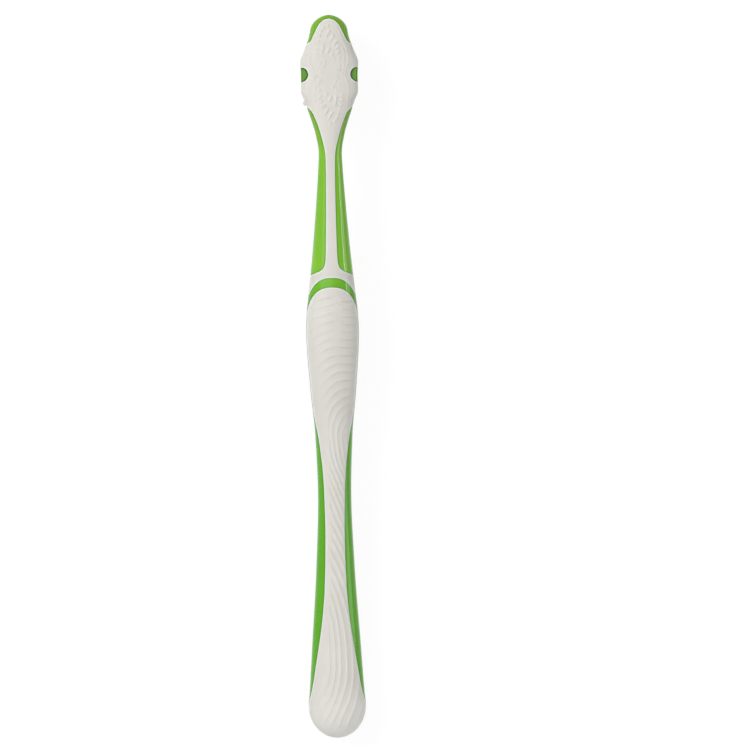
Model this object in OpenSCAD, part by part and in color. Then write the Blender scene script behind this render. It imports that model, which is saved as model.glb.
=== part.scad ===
// A manual toothbrush with an overmoulded handle, a tongue cleaner on the back of the head and
// anchored nylon tufts. It lies on its tuft tips and on the front of its butt, with its back up.
// X runs across the brush, Y along it towards the toe of the head, and Z up.

/* [Lengths along the brush] */
// From the butt to the upper edge of the white collar
handle_l = 122; // [112:1:132]
// From the collar to the heel of the head, where the rubber skirt starts
neck_l = 44; // [38:1:52]
// From the heel to the toe of the head
head_l = 24.3; // [22.5:0.1:28]
// Length of the rubber cap round the butt
cap_l = 10; // [9:0.5:14]
// Length of the front thumb pad below the collar
front_pad_l = 40; // [30:1:50]
// Straight part of the collar
collar_l = 1; // [0.8:0.1:1.6]

/* [Widths] */
// Widest part of the butt
butt_w = 15.1; // [13:0.1:17]
// Narrowest part of the handle
waist_w = 8.8; // [7.6:0.1:10]
// Widest part of the thumb grip
thumb_w = 13.9; // [12:0.1:16]
// Narrowest part of the neck
neck_w = 6.1; // [5:0.1:7]
// Widest part of the head
head_w = 15.24; // [14.6:0.01:17]
// Narrowest part of the rear rubber strip, at the waist
strip_w = 5.1; // [4:0.1:6]
// Narrowest part of the rubber spine on the neck
spine_w = 2.4; // [1.8:0.1:3]
// Thickness of the hard arch band between the collar and the rear grip
band_w = 2.4; // [1.6:0.1:3]

/* [Thicknesses from front to back] */
// Butt
butt_t = 11.5; // [10:0.1:13]
// Waist
waist_t = 8.8; // [7.5:0.1:10]
// Thumb grip
thumb_t = 12.6; // [11:0.1:14]
// Collar
collar_t = 10.6; // [9:0.1:12]
// Neck
neck_t = 5.2; // [4.5:0.1:6]
// Head, from the tuft face to the back of the tongue cleaner
head_t = 4.8; // [4.5:0.1:5.6]
// Rubber over the hard core
rubber_t = 1.2; // [0.9:0.1:1.4]
// Rubber skirt round the side of the head, the collar and the butt
skirt_t = 0.9; // [0.7:0.05:1]

/* [Heights of the front face over the surface] */
// Waist
waist_rise = 3.8; // [3:0.1:4.5]
// Thumb grip
thumb_rise = 3.3; // [2.5:0.1:4]
// Collar
collar_rise = 5.3; // [4.5:0.1:6]
// Neck
neck_rise = 10.3; // [9:0.1:11]
// Tuft face of the head, which is the free length of the longest tufts
tuft_l = 10.6; // [9.5:0.1:11.5]

/* [Tufts] */
// From the heel of the head to the middle of the first row of tufts
heel_margin = 1.82; // [1.7:0.02:2.2]
// From the middle of the last row of tufts to the toe
toe_margin = 2.14; // [2:0.02:2.6]
// Spacing of the tufts in a row
column_pitch = 2.45; // [2.2:0.01:2.5]
// Bore of a tuft hole
hole_d = 1.7; // [1.5:0.05:1.8]
// Depth of a tuft hole
hole_depth = 2.5; // [2.2:0.1:2.6]
// Clearance round the root of a tuft
root_fit = 0.03; // [0.02:0.01:0.05]
// Width across a strand
strand_d = 0.26; // [0.2:0.01:0.28]
// How much shorter the middle tufts are than the outer ones
middle_drop = 1.3; // [0:0.1:2.5]
// Length of an anchor, across its hole
anchor_l = 2.1; // [1.95:0.01:2.2]
// Thickness of an anchor
anchor_t = 0.3; // [0.2:0.05:0.4]
// Depth of an anchor along its hole
anchor_h = 1.3; // [1:0.1:1.5]
// Folded bristle under an anchor
fold_t = 0.4; // [0.3:0.05:0.5]

/* [Rubber relief] */
// Height of the ribs on the rear grip
rib_h = 0.24; // [0.1:0.02:0.5]
// Spacing of the ribs under the finger
rib_pitch = 2.1; // [1.8:0.1:2.6]
// Height of the tongue cleaner's nubs
nub_h = 0.45; // [0.3:0.05:0.6]
// Width of a nub
nub_w = 0.7; // [0.5:0.05:0.8]
// Radius of the half-moon windows in the sides of the head
window_r = 1.93; // [1.6:0.01:2.1]
// How far the hard core lies under the rubber in the windows
window_depth = 1; // [0.6:0.1:1.4]
// Length of the rubber fins beside the tufts
fin_l = 6; // [4:0.1:7.5]
// Thickness of a fin, across the brush
fin_t = 0.8; // [0.6:0.05:0.85]
// Width of a fin, along the brush
fin_w = 1.3; // [1:0.1:1.6]

/* [Hidden] */
brush_l = handle_l + neck_l + head_l;
heel_s = handle_l + neck_l;
collar_s = handle_l - collar_l;

// Roundness of the two ends, as shares of the lengths that they end
butt_round_share = 0.07;
toe_round_share = 0.16;
// Places of the waist and the thumb grip along the handle, and of the neck's thinnest part
waist_share = 0.525;
thumb_share = 0.86;
thin_neck_share = 0.7;
butt_round = butt_round_share * handle_l;
toe_round = toe_round_share * head_l;

// Half widths of the outline. Each row has a place, as a share of its length, and how far the
// width has gone between the two named widths.
waist_to_butt_shares = [[0, 1], [0.07, 1], [0.1, 0.905], [0.205, 0.635], [0.369, 0.215], [0.525, 0]];
waist_to_thumb_shares = [[0.656, 0.21], [0.754, 0.645], [0.877, 1]];
thumb_to_neck_handle_shares = [[0.918, 0.95], [0.959, 0.81]];
thumb_to_neck_shares = [[0, 0.665], [0.182, 0.456], [0.409, 0.232], [0.636, 0.047], [0.727, 0]];
neck_to_head_shares = [[0.836, 0.159], [0.932, 0.425], [0.989, 0.61]];
head_width_shares = [[0.041, 0.812], [0.18, 0.984], [0.354, 0.975], [0.486, 1], [0.613, 0.866],
    [0.782, 0.68], [1, 0.577]];

// The rubber on the back. Its half width at each place is a share of the way from its
// narrowest to the full outline.
strip_shares = [[0.082, 1], [0.114, 0.865], [0.15, 0.75], [0.184, 0.625], [0.218, 0.485], [0.27, 0.29],
    [0.336, 0.12], [0.45, 0], [0.529, 0.11], [0.58, 0.28], [0.615, 0.48], [0.65, 0.69], [0.684, 0.93],
    [0.71, 1], [1, 1]];
spine_shares = [[0, 0.95], [0.011, 0.68], [0.023, 0.4], [0.045, 0.19], [0.07, 0.12], [0.11, 0.085],
    [0.25, 0.05], [0.41, 0.02], [0.57, 0], [0.7, 0.03], [0.75, 0.16], [0.79, 0.33],
    [0.857, 0.53], [0.93, 0.69], [0.966, 0.77], [1, 0.95]];
// The white field at the toe. Its half width is a share of the head's.
toe_field_shares = [[0.69, 0.76], [0.716, 0.63], [0.745, 0.58], [0.79, 0.52], [0.85, 0.475], [1, 0.46]];
toe_start_share = 0.69;
toe_end_share = 0.955;
toe_field_round_share = 0.2;

// Arches of the rear grip and of the collar's lower edge
arch_power = 2.5;
arch_base_share = 0.885;
arch_crown_share = 0.99;
leg_end_share = 0.957;
crown_flat_share = 0.06;
collar_bulge_share = 0.15;

// The front thumb pad. Its half width is a share of the outline's.
front_pad_shares = [[0, 0.38], [0.06, 0.58], [0.2, 0.72], [0.5, 0.78], [0.8, 0.84], [1, 0.97]];
front_plain_share = 0.45;

// The rest of the sections
section_power = 2.25;
head_power = 2.8;
middle_share = 0.5;
head_middle_share = 0.17;
floor_share = 0.7;
deepest_recess_share = 0.45;
tuft_face_share = 0.86;
tuft_face_start_share = 0.93;
flat_start_share = 0.75;
flat_end_share = 0.95;
toe_fall_share = 0.14;
edge_rim = 0.15;
skirt_share = 0.3;

// Places along the head of the windows, and of the fins with how far out their tips reach
window_share = 0.354;
fin_shares = [[0.065, 0.925], [0.165, 0.97], [0.49, 0.985], [0.585, 0.9]];
fin_tip_share = 0.7;
fin_root = 0.5;
fin_fit = 0.02;
fin_sides = 8;
lobe_fit = 0.05;

// Ribs of the rear grip. The upper ones bend round a centre, in ovals that turn into circles
// higher up. The lower ones run along the handle and drift across it: each row has a place and how
// many whole turns of the pattern lie between the centre and there. The next rows have how wide
// apart the lower ribs stand, and the smooth margin at the left as a share of the half width.
swirl_share = 0.648;
swirl_x_share = 0.36;
swirl_reach_share = 0.254;
rib_squeeze_share = 0.571;
squeeze_shares = [[0, 0], [0.35, 0.08], [0.68, 0.5], [1, 1]];
rib_turn_shares = [[0, 10.7], [0.041, 11.6], [0.09, 12.6], [0.139, 13.05], [0.189, 12.9], [0.238, 12.5],
    [0.287, 11.7], [0.336, 10.5], [0.41, 8.2], [0.484, 5.3], [0.557, 2.3], [0.607, 0.5], [0.648, 0]];
rib_spread_shares = [[0, 1.9], [0.065, 1.65], [0.115, 1.41], [0.164, 1.28], [0.25, 1.22], [0.4, 1.25],
    [0.46, 1.2], [0.51, 1.05], [0.57, 0.98], [0.648, 1]];
rib_margin_shares = [[0, 0.25], [0.1, 0.3], [0.3, 0.25], [0.5, 0.25], [0.6, 0.32], [0.66, 0.5], [0.69, 0.55],
    [0.73, 0.42], [0.78, 0.38], [0.82, 0.28], [0.88, 0.1], [0.96, 0.08]];
rib_run_share = 0.4;
rib_edge = 0.5;
// Rows of points a rib where the ribs lie across, and the step between rows where they lie along
rib_rows = 3;
low_step_share = 1.05;

// Step along the brush in which one kind of section turns into the next
seam = 0.04;
// Places of the sections: on the thumb grip above the front pad's end, on the hard arch band, on
// the neck, on the head, on its white toe field and on the hard rim past that
grip_place_shares = [0, 0.02, 0.05, 0.1, 0.19, 0.28, 0.37, 0.46, 0.55, 0.64, 0.73, 0.82, 0.91, 1];
band_place_shares = [0.35, 0.65, 0.88, 1];
spine_place_shares = [0, 0.011, 0.023, 0.045, 0.11, 0.18, 0.25, 0.33, 0.41, 0.49, 0.57, 0.64, 0.7, 0.75,
    0.79, 0.857, 0.93, 0.966, 1];
hood_place_shares = [0, 0.041, 0.1, 0.18, 0.27, 0.354, 0.42, 0.486, 0.55, 0.613, toe_start_share];
toe_place_shares = [0.716, 0.745, 0.79, 0.831, 0.87, 0.91, 0.94];
toe_rim_place_shares = [0, 0.45, 0.85, 1];
// Places of the points of a hard section, from the edge of its plain front out to its side, and
// from there in to the edge of the rubber on its back
front_point_shares = [0, 0.45, 0.8, 1];
back_point_shares = [0, 0.2, 0.55, 0.8];
leg_point_shares = [0.35, 0.7, 1];

// Nubs of the tongue cleaner, a swirl that looks the same from both ends
nub_len = 0.3;
nub_sink = 0.2;
nub_top_share = 0.45;
nub_sides = 6;
bar_l = 1.1;
long_bar_l = 2;
// Rows of nubs [across, along] from the middle of the windows, as shares of the head's width and
// length. The other half of the swirl is each row turned half round.
border_dot_shares = [for (a = [-4:13:87]) [-0.217 * cos(a), 0.24 + 0.29 * sin(a)]];
inner_dot_shares = [for (k = [-2:2]) [-0.13 + 0.017 * k * k, 0.012 - 0.058 * k - 0.006 * k * k]];
side_dot_shares = [for (k = [0:3]) [-0.237 - 0.006 * k, -0.015 - 0.071 * k]];
bar_shares = [for (k = [0:5]) [-0.03 + 0.047 * k - 0.001 * k * k, 0.449 - 0.048 * k - 0.002 * k * k]];
pair_dot_shares = [[-0.024, 0.259], [0.047, 0.21]];
long_bar_shares = [[-0.118, 0.29]];
bar_angle = 55;
long_bar_angle = 83;

// Rows of tufts from the heel and how many stand in each. The middle ones are short.
row_counts = [4, 5, 5, 5, 5, 5, 4, 4, 3, 2];
inner_ring_share = 0.3;
outer_ring_share = 0.8;
inner_strands = 3;
outer_strands = 8;
strand_sides = 4;
round_fn = 24;
short_share = 0.24;
overrun = 0.5;

green = [0.36, 0.68, 0.16];
white = [0.9, 0.89, 0.87];
nylon = [0.95, 0.96, 0.96];
brass = [0.8, 0.66, 0.32];

// Smooth curves through rows of [place, value]
function mix(a, b, share) = a + (b - a) * share;

function step_slope(rows, i) = (rows[i + 1][1] - rows[i][1]) / (rows[i + 1][0] - rows[i][0]);

function row_slope(rows, i) =
    i == 0 ? step_slope(rows, 0) :
    i == len(rows) - 1 ? step_slope(rows, i - 1) :
    let (a = step_slope(rows, i - 1), b = step_slope(rows, i))
    a * b <= 0 ? 0 : 2 * a * b / (a + b);

function row_at(rows, s, i = 0) = i >= len(rows) - 2 || s < rows[i + 1][0] ? i : row_at(rows, s, i + 1);

function curve(rows, s) =
    let (
        i = row_at(rows, s),
        span = rows[i + 1][0] - rows[i][0],
        t = min(max((s - rows[i][0]) / span, 0), 1),
        u = 1 - t
    )
    (rows[i][1] * (1 + 2 * t) + row_slope(rows, i) * span * t) * u * u
        + (rows[i + 1][1] * (1 + 2 * u) - row_slope(rows, i + 1) * span * u) * t * t;

// How much of a width is left at t, from 0 at a round end's base to 1 at its tip
function round_end(t, power = 2) = pow(1 - pow(min(max(t, 0), 1), power), 1 / power);

// The outline of the whole brush
outline_rows = concat(
    [for (r = waist_to_butt_shares) [r[0] * handle_l, mix(waist_w, butt_w, r[1]) / 2]],
    [for (r = waist_to_thumb_shares) [r[0] * handle_l, mix(waist_w, thumb_w, r[1]) / 2]],
    [for (r = thumb_to_neck_handle_shares) [r[0] * handle_l, mix(neck_w, thumb_w, r[1]) / 2]],
    [for (r = thumb_to_neck_shares) [handle_l + r[0] * neck_l, mix(neck_w, thumb_w, r[1]) / 2]],
    [for (r = neck_to_head_shares) [handle_l + r[0] * neck_l, mix(neck_w, head_w, r[1]) / 2]],
    [for (r = head_width_shares) [heel_s + r[0] * head_l, head_w * r[1] / 2]]
);

function half_w(s) =
    curve(outline_rows, s) * round_end(1 - s / butt_round) * round_end(1 - (brush_l - s) / toe_round);

// Front and back faces on the middle line, the widest line between them, and the flat tuft face
waist_s = waist_share * handle_l;
thumb_s = thumb_share * handle_l;
thin_neck_s = handle_l + thin_neck_share * neck_l;
front_rows = [[0, 0], [butt_round, 0], [waist_s, waist_rise], [thumb_s, thumb_rise], [handle_l, collar_rise],
    [thin_neck_s, neck_rise], [handle_l + tuft_face_start_share * neck_l, tuft_l], [brush_l, tuft_l]];
back_rows = [[0, butt_t], [butt_round, butt_t], [waist_s, waist_rise + waist_t],
    [thumb_s, thumb_rise + thumb_t], [handle_l, collar_rise + collar_t],
    [thin_neck_s, neck_rise + neck_t], [heel_s, tuft_l + head_t],
    [heel_s + toe_start_share * head_l, tuft_l + head_t], [brush_l, tuft_l + head_t * (1 - toe_fall_share)]];
middle_rows = [[0, middle_share], [thin_neck_s, middle_share], [heel_s, head_middle_share],
    [brush_l, head_middle_share]];
power_rows = [[0, section_power], [thin_neck_s, section_power], [heel_s, head_power],
    [brush_l, head_power]];
flat_rows = [[0, 0], [handle_l + flat_start_share * neck_l, 0],
    [handle_l + flat_end_share * neck_l, tuft_face_share], [brush_l, tuft_face_share]];

// A section at s: [half width, widest line, height over it, depth under it, power, flat half width, s]
function section(s) =
    let (
        round = round_end(1 - s / butt_round),
        front = curve(front_rows, s),
        back = curve(back_rows, s),
        middle = mix(front, back, curve(middle_rows, s)),
        w = half_w(s)
    )
    [
        w, middle, (back - middle) * round, (middle - front) * round,
        curve(power_rows, s), w * curve(flat_rows, s), s
    ];

// Height of the back or front skin of a section at x, and of the core's recess under the rubber
function bulge(x, flat, w, power) =
    w <= flat ? 0 : round_end((abs(x) - flat) / (w - flat), power);
function back_z(c, x, t = 0) =
    c[1] + (c[2] - min(t, deepest_recess_share * c[2])) * bulge(x, 0, c[0], c[4]);
function front_z(c, x, t = 0) =
    c[1] - (c[3] - min(t, deepest_recess_share * c[3])) * bulge(x, c[5], c[0], c[4]);

// Half widths of the rubber
function arch(s, crown_s, half) =
    half * round_end((s - arch_base_share * handle_l) / (crown_s - arch_base_share * handle_l), arch_power);
grip_crown_s = collar_s - band_w;
function rear_half(s) =
    min(
        mix(strip_w / 2, half_w(s) - edge_rim, curve([for (r = strip_shares) [r[0] * handle_l, r[1]]], s)),
        arch(s, grip_crown_s, arch_crown_share * thumb_w / 2)
    );
function collar_half(s) =
    let (
        crown_s = collar_s + crown_flat_share * band_w,
        half = arch_crown_share * thumb_w / 2 + collar_bulge_share * band_w
    )
    min(arch(s, crown_s, half), half_w(s) - edge_rim);
function spine_half(s) =
    mix(spine_w / 2, half_w(s), curve([for (r = spine_shares) [handle_l + r[0] * neck_l, r[1]]], s));
toe_start_s = heel_s + toe_start_share * head_l;
toe_end_s = heel_s + toe_end_share * head_l;
toe_field_rows = [for (r = toe_field_shares) [heel_s + r[0] * head_l, head_w / 2 * r[1]]];
function toe_half(s) =
    min(curve(toe_field_rows, s), half_w(s) - edge_rim)
        * round_end(1 - (toe_end_s - s) / (toe_field_round_share * head_l));
leg_s = leg_end_share * handle_l;
front_pad_s = leg_s - front_pad_l;
front_pad_rows = [for (r = front_pad_shares) [front_pad_s + r[0] * front_pad_l, r[1]]];
function front_half(s) = half_w(s) * curve(front_pad_rows, s);

// Zones along the brush. A zone says what the rubber does in its sections.
function wraps(zone) = zone == "cap" || zone == "belt" || zone == "hood";
function rear_edge(zone, s) =
    zone == "spine" ? spine_half(s) :
    zone == "toe" ? (s < toe_end_s ? toe_half(s) : 0) :
    zone == "pad" || zone == "pad_front" || zone == "leg" ? (s < grip_crown_s ? rear_half(s) : 0) :
    half_w(s) - min(skirt_t, half_w(s) * skirt_share);
function rear_recess(zone, s) =
    (zone == "leg" && s >= grip_crown_s) || (zone == "toe" && s >= toe_end_s) ? 0 : rubber_t;
function core_side(s) = half_w(s) - skirt_t;

// Spreads count places evenly from a to b, without b
function spread(a, b, count) = [for (i = [0:count - 1]) mix(a, b, i / count)];
// The same, crowded towards b, and towards a
function crowd(a, b, count) = [for (i = [0:count - 1]) mix(a, b, sin(90 * i / count))];
function crowd_start(a, b, count) = [for (i = [0:count - 1]) mix(a, b, 1 - cos(90 * i / count))];

function zone_places(zone, places) = [for (s = places) [zone, s]];

cap_stations = zone_places("cap", concat(crowd_start(0, butt_round, 6), [butt_round, cap_l]));
low_stations = zone_places("pad", concat([cap_l + seam],
    [for (s = spread(cap_l, front_pad_s, 17)) if (s > cap_l) s], [front_pad_s]));
grip_stations = zone_places("pad_front", [for (t = grip_place_shares) mix(front_pad_s + seam, leg_s, t)]);
leg_stations = zone_places("leg", concat(crowd(leg_s + seam, grip_crown_s, 4), [grip_crown_s],
    [for (t = band_place_shares) mix(grip_crown_s, collar_s - seam, t)]));
belt_stations = zone_places("belt", [collar_s, handle_l]);
spine_stations = zone_places("spine", [for (t = spine_place_shares) mix(handle_l + seam, heel_s, t)]);
hood_stations = zone_places("hood", [for (t = hood_place_shares) mix(heel_s + seam, heel_s + head_l, t)]);
toe_stations = zone_places("toe", concat([toe_start_s + seam],
    [for (t = toe_place_shares) heel_s + t * head_l],
    [for (t = toe_rim_place_shares) mix(toe_end_s, brush_l, t)]));
core_stations = concat(cap_stations, low_stations, grip_stations, leg_stations, belt_stations, spine_stations,
    hood_stations, toe_stations);

// Right half of a core section, from the middle of the front to the middle of the back
function core_half(zone, s) =
    let (
        c = section(s),
        full = zone == "leg" || zone == "belt",
        f = zone == "pad_front" ? front_half(s) : max(front_plain_share * c[0], c[5]),
        t_front = zone == "pad_front" || full ? rubber_t : 0,
        side = zone == "leg" ? max(core_side(s), collar_half(s)) : core_side(s),
        b = rear_edge(zone, s),
        t_back = rear_recess(zone, s)
    )
    concat(
        full ? concat(
            [for (x = [0, floor_share * side, side]) [x, front_z(c, x, t_front)]],
            [for (i = [1:4]) [side, front_z(c, side, t_front)]]
        ) : concat(
            [for (x = [0, floor_share * f, f]) [x, front_z(c, x, t_front)]],
            [for (a = front_point_shares) let (x = mix(f, c[0], a)) [x, front_z(c, x)]]
        ),
        zone == "leg" ? let (g = min(collar_half(s), side)) [
            [side, back_z(c, side, rubber_t)],
            [g, back_z(c, g, rubber_t)],
            [g, back_z(c, g)],
            [(g + b) / 2, back_z(c, (g + b) / 2)]
        ] :
        wraps(zone) ? [[b, c[1]], for (i = [1:3]) [b, back_z(c, b, t_back)]] :
        [for (a = back_point_shares) let (x = mix(c[0], b, a)) [x, back_z(c, x)]],
        [[b, back_z(c, b, wraps(zone) ? t_back : 0)]],
        [for (x = [b, floor_share * b, 0]) [x, back_z(c, x, t_back)]]
    );

// A whole ring of points from its right half, whose first and last points lie on the middle line
function ring(half, s) =
    [
        for (p = half) [p[0], s - brush_l / 2, p[1]],
        for (i = [len(half) - 2:-1:1]) [-half[i][0], s - brush_l / 2, half[i][1]]
    ];

// A closed skin over rings of points. An end whose ring hasn't shrunk to a line gets a flat face.
module skin(rings) {
    n = len(rings[0]);
    last = len(rings) - 1;
    points = [for (r = rings) each r];
    function flat_end(r) =
        [for (i = [0:n - 1]) if (points[r * n + i] != points[r * n + (i + 1) % n]) r * n + i];
    function spans(r) = max([for (p = rings[r]) p[0]]) > 0;
    sides = [for (r = [0:last - 1], i = [0:n - 1])
        let (a = r * n + i, b = r * n + (i + 1) % n)
        each [[a, b, b + n], [a, b + n, a + n]]];
    whole = [for (t = sides)
        if (points[t[0]] != points[t[1]] && points[t[1]] != points[t[2]] && points[t[2]] != points[t[0]]) t];
    ends = concat(
        spans(0) ? [let (e = flat_end(0)) [for (i = [len(e) - 1:-1:0]) e[i]]] : [],
        spans(last) ? [flat_end(last)] : []
    );
    polyhedron(points, concat(whole, ends), 8);
}

core_rings = [for (place = core_stations) ring(core_half(place[0], place[1]), place[1])];

// Line that a rubber piece on the back shares with the core, from its middle out to its edge
function rear_chain(zone, s) =
    let (c = section(s), b = rear_edge(zone, s), t = rear_recess(zone, s))
    concat(
        [for (x = [0, floor_share * b, b]) [x, back_z(c, x, t)]],
        wraps(zone) ? [[b, c[1]], [c[0], c[1]]] : [[b, back_z(c, b)], [b, back_z(c, b)]]
    );

// The cover of neck and head, with its outer skin from that edge in to the middle
cover_columns = 7;
cover_shares = [for (i = [1:cover_columns]) cos(90 * i / cover_columns)];
cover_stations = concat(belt_stations, spine_stations, hood_stations,
    [for (p = toe_stations) if (p[1] <= toe_end_s) p]);
function cover_half(zone, s) =
    let (c = section(s), chain = rear_chain(zone, s))
    concat(chain, [for (u = cover_shares) let (x = u * chain[4][0]) [x, back_z(c, x)]]);
cover_rings = [for (place = cover_stations) ring(cover_half(place[0], place[1]), place[1])];

// The ribs of the rear grip run along lines of equal phase, one turn a rib. Above the swirl's
// centre they bend round it, and below they run along the handle and drift across it.
swirl_s = swirl_share * handle_l;
swirl_x = swirl_x_share * thumb_w;
function turned(s) = s < swirl_s ? curve(rib_turn_shares, s / handle_l) : 0;
function spacing(s) = rib_squeeze_share * rib_pitch * curve(rib_spread_shares, s / handle_l);
function rib_phase(s, x) =
    let (up = curve(squeeze_shares, (s - swirl_s) / (swirl_reach_share * handle_l)))
    s > swirl_s ? norm([s - swirl_s, (swirl_x - x) * mix(1 / rib_squeeze_share, 1, up)]) / rib_pitch
                : turned(s) + (swirl_x - x) / spacing(s);
function rib_fade(s, x, edge) =
    let (
        left = edge * curve([for (r = rib_margin_shares) [r[0] * handle_l, r[1]]], s),
        ends = min(s / butt_round, (grip_crown_s - s) / rib_pitch)
    )
    min(max(min((x + edge - left) / (rib_run_share * rib_pitch), (edge - x) / rib_edge, ends), 0), 1);
function rib(s, x, edge) = rib_h * rib_fade(s, x, edge) * (1 + cos(360 * rib_phase(s, x))) / 2;

// Rows of points over the rear grip. Their columns lie on the crests and troughs of the lower
// ribs, and those that have run out of the grip gather on its rounded edge.
first_column = -ceil(2 * (thumb_w / 2 - swirl_x) / spacing(swirl_s));
last_column = ceil(2 * max([for (r = rib_turn_shares)
    let (s = r[0] * handle_l) turned(s) + (swirl_x + half_w(s)) / spacing(s)]));
edge_shares = [0.995, 0.965];
inner_edge_share = 0.9;
snap_share = 0.3;
function grip_point(c, x, edge) = [x, c[6] - brush_l / 2, back_z(c, x) + rib(c[6], x, edge)];
function grip_ring(s, chain) =
    let (
        c = section(s),
        y = s - brush_l / 2,
        edge = chain[4][0],
        inner = inner_edge_share * edge,
        step = spacing(s) / 2
    )
    [
        for (p = chain) [p[0], y, p[1]],
        for (u = edge_shares) grip_point(c, u * edge, edge),
        for (k = [first_column:last_column])
            let (x = swirl_x - (k - 2 * turned(s)) * step)
            grip_point(c, abs(x) > inner - snap_share * step ? sign(x) * inner : x, edge),
        for (i = [len(edge_shares) - 1:-1:0]) grip_point(c, -edge_shares[i] * edge, edge),
        for (i = [len(chain) - 1:-1:1]) [-chain[i][0], y, chain[i][1]]
    ];
grip_main = [for (p = concat(cap_stations, low_stations, grip_stations, leg_stations))
    if (p[1] <= grip_crown_s) p];
grip_rings = [
    for (i = [0:len(grip_main) - 2])
        let (
            a = grip_main[i],
            b = grip_main[i + 1],
            from = rear_chain(a[0], a[1]),
            to = rear_chain(b[0], b[1]),
            step = a[1] < swirl_s ? low_step_share * rib_pitch : rib_pitch / rib_rows,
            count = a[0] == b[0] ? max(1, round((b[1] - a[1]) / step)) : 1
        )
        for (j = [0:count - 1]) grip_ring(mix(a[1], b[1], j / count), mix(from, to, j / count)),
    let (end = grip_main[len(grip_main) - 1]) grip_ring(end[1], rear_chain(end[0], end[1]))
];

// The front grip is the thumb pad, with the lower half of the collar and its two legs
front_columns = 7;
front_shares = [for (i = [front_columns:-1:0]) cos(90 * i / front_columns)];
function front_grip_half(zone, s) =
    let (
        c = section(s),
        pad = zone == "pad_front",
        side = zone == "leg" ? max(core_side(s), collar_half(s)) : core_side(s),
        edge = pad ? front_half(s) : side,
        top = zone == "leg" ? min(collar_half(s), side) : c[0]
    )
    concat(
        [for (u = front_shares) let (x = u * (pad ? edge : c[0])) [x, front_z(c, x)]],
        pad ? [for (i = [1:4]) [edge, front_z(c, edge)]] :
        zone == "leg" ? [
            for (a = leg_point_shares) let (x = mix(c[0], top, a)) [x, back_z(c, x)],
            [top, back_z(c, top, rubber_t)]
        ] : [for (i = [1:4]) [c[0], c[1]]],
        pad ? [[edge, front_z(c, edge)]] :
        zone == "leg" ? [[side, back_z(c, side, rubber_t)]] : [[side, c[1]]],
        [for (x = [edge, floor_share * edge, 0]) [x, front_z(c, x, rubber_t)]]
    );
front_grip_stations = concat(grip_stations, leg_stations, belt_stations);
front_grip_rings = [for (place = front_grip_stations) ring(front_grip_half(place[0], place[1]), place[1])];

// Where a share of the head's length lies along Y, and the cover's height at a place on the head
function head_y(share) = heel_s + share * head_l - brush_l / 2;
window_y = head_y(window_share);
window_x = half_w(heel_s + window_share * head_l);
function cover_z(x, y) = back_z(section(y + brush_l / 2), x);

// One nub: a low bar with round ends and sloping sides, set on the cover
module nub(x, y, length, angle) {
    translate([x, y, cover_z(x, y) - nub_sink])
        rotate([0, 0, angle])
            hull()
                for (end = [-1, 1])
                    translate([end * length / 2, 0, 0])
                        cylinder(h = nub_h + nub_sink, d1 = nub_w, d2 = nub_top_share * nub_w,
                            $fn = nub_sides);
}

// The same nubs on one side and, turned half round, on the other
module nub_swirl(shares, length, angle) {
    for (p = shares, turn = [1, -1])
        nub(turn * p[0] * head_w, window_y + turn * p[1] * head_l, length, angle);
}

// Set beside the tufts, at the middle of the skirt's thickness and along the outline
ledge_z = mix(tuft_l, tuft_l + head_t, head_middle_share);
module beside_tufts(side, share) {
    s = heel_s + share * head_l;
    lean = atan((half_w(s + fin_w / 2) - half_w(s - fin_w / 2)) / fin_w);
    translate([side * (half_w(s) - skirt_t / 2), head_y(share), 0])
        rotate([0, 0, -side * lean])
            children();
}

// A soft fin that hangs from the skirt, as wide at its tip as its share of the root says
module fin(side, share, reach) {
    lean_out = reach * head_w / 2 - fin_t / 2 - half_w(heel_s + share * head_l) + skirt_t / 2;
    beside_tufts(side, share)
        hull() {
            translate([0, 0, ledge_z])
                scale([1, fin_w / fin_t, 1])
                    cylinder(h = fin_root, d = fin_t, $fn = fin_sides);
            translate([side * lean_out, 0, tuft_l - fin_l])
                scale([1, fin_w / fin_t * fin_tip_share, 1])
                    cylinder(h = fin_t, d1 = fin_t * fin_tip_share, d2 = fin_t, $fn = fin_sides);
        }
}

// The notch that a fin passes through in the edge of the hard head
module fin_notch(side, share) {
    beside_tufts(side, share)
        translate([side * (skirt_t - fin_t) / 2, 0, tuft_l + (ledge_z - tuft_l) / 2])
            cube([skirt_t + 2 * fin_fit, fin_w + 2 * fin_fit, ledge_z - tuft_l + 2 * seam], center = true);
}

module head_cover() {
    color(white) {
        difference() {
            skin(cover_rings);
            for (side = [-1, 1])
                translate([side * window_x, window_y, tuft_l])
                    cylinder(h = head_t + overrun, r = window_r, $fn = round_fn);
        }
        nub_swirl(border_dot_shares, nub_len, 0);
        nub_swirl(inner_dot_shares, nub_len, 0);
        nub_swirl(side_dot_shares, nub_len, 0);
        nub_swirl(pair_dot_shares, nub_len, bar_angle);
        nub_swirl(bar_shares, bar_l, bar_angle);
        nub_swirl(long_bar_shares, long_bar_l, long_bar_angle);
        for (side = [-1, 1], f = fin_shares)
            fin(side, f[0], f[1]);
    }
}

// Tufts, row by row from the heel
row_pitch = (head_l - heel_margin - toe_margin) / (len(row_counts) - 1);
function row_y(row) = head_y(0) + heel_margin + row * row_pitch;
function row_xs(row) = [for (i = [0:row_counts[row] - 1]) (i - (row_counts[row] - 1) / 2) * column_pitch];
function is_short(row, x) = row > 0 && row < len(row_counts) - 2 && abs(x) < short_share * head_w ? 1 : 0;
root_d = hole_d - 2 * root_fit;
anchor_z = tuft_l + hole_depth - fold_t - anchor_h;

module tuft_hole(x, y) {
    translate([x, y, tuft_l - overrun])
        cylinder(h = hole_depth + overrun, d = hole_d, $fn = round_fn);
    anchor(x, y);
}

module anchor(x, y) {
    translate([x - anchor_l / 2, y - anchor_t / 2, anchor_z])
        cube([anchor_l, anchor_t, anchor_h]);
}

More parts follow.
